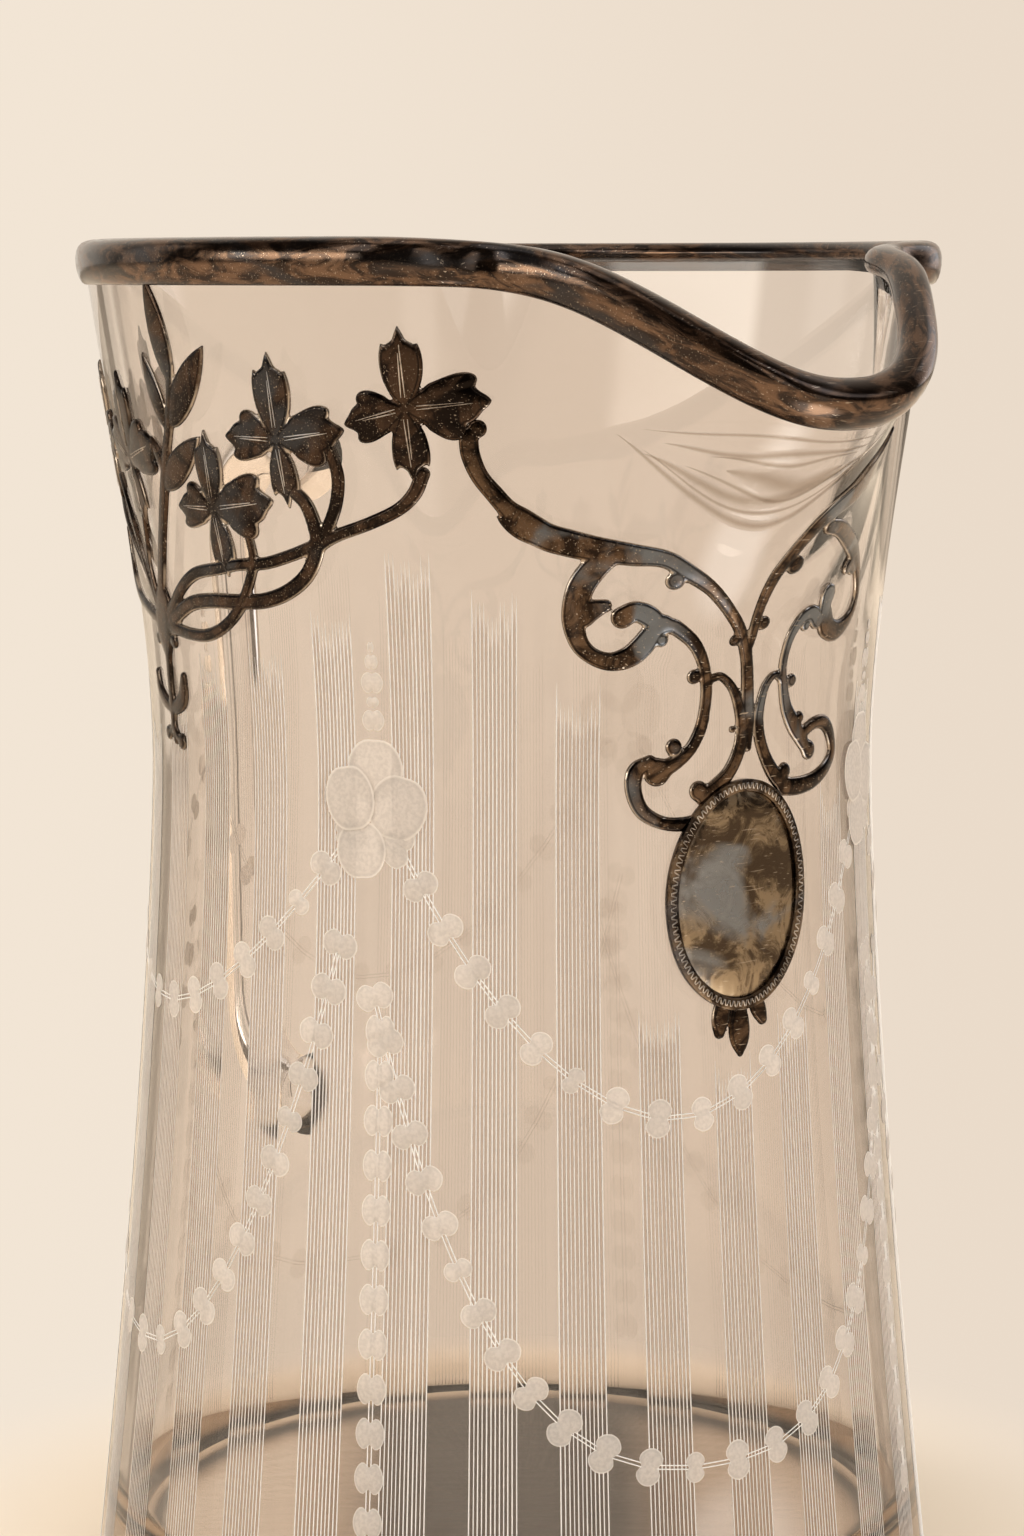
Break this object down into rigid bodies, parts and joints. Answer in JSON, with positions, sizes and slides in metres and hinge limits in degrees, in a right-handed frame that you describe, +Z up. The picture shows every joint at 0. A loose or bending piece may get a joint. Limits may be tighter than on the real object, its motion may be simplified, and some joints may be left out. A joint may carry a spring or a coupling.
{
  "type": "glass pitcher",
  "caption": "Tall open glass pitcher with a pinched pouring lip, an applied rod handle, a half-round silver rim band and pierced silver scroll and flower overlay.",
  "frame": {"origin": "centre of the flat base, on the table plane", "axes": "+Z up along the pitcher's axis; +X towards the pouring lip; -X towards the handle; +Y to the left when the lip points away from the viewer"},
  "size_m": [0.1551, 0.1156, 0.1854],
  "materials": {
    "clear_glass": "gloss",
    "rim_silver": "tarnished",
    "overlay_silver": "tarnished"
  },
  "bodies": {
    "root": {"cartouche_border": "overlay_silver", "cartouche_plate": "overlay_silver", "centre_stem": "overlay_silver", "glass_body": "clear_glass", "glass_handle": "clear_glass", "leaf_stalk": "overlay_silver", "left_arm_scroll": "overlay_silver", "left_c_scroll": "overlay_silver", "left_flower_1": "overlay_silver", "left_flower_2": "overlay_silver", "left_flower_3": "overlay_silver", "left_inner_scroll": "overlay_silver", "left_lower_scroll": "overlay_silver", "left_stems": "overlay_silver", "pendant_drops": "overlay_silver", "right_arm_scroll": "overlay_silver", "right_c_scroll": "overlay_silver", "right_flower_1": "overlay_silver", "right_flower_2": "overlay_silver", "right_flower_3": "overlay_silver", "right_inner_scroll": "overlay_silver", "right_lower_scroll": "overlay_silver", "right_stems": "overlay_silver", "rim_band": "rim_silver", "spray_knot": "overlay_silver"}
  },
  "joints": []
}
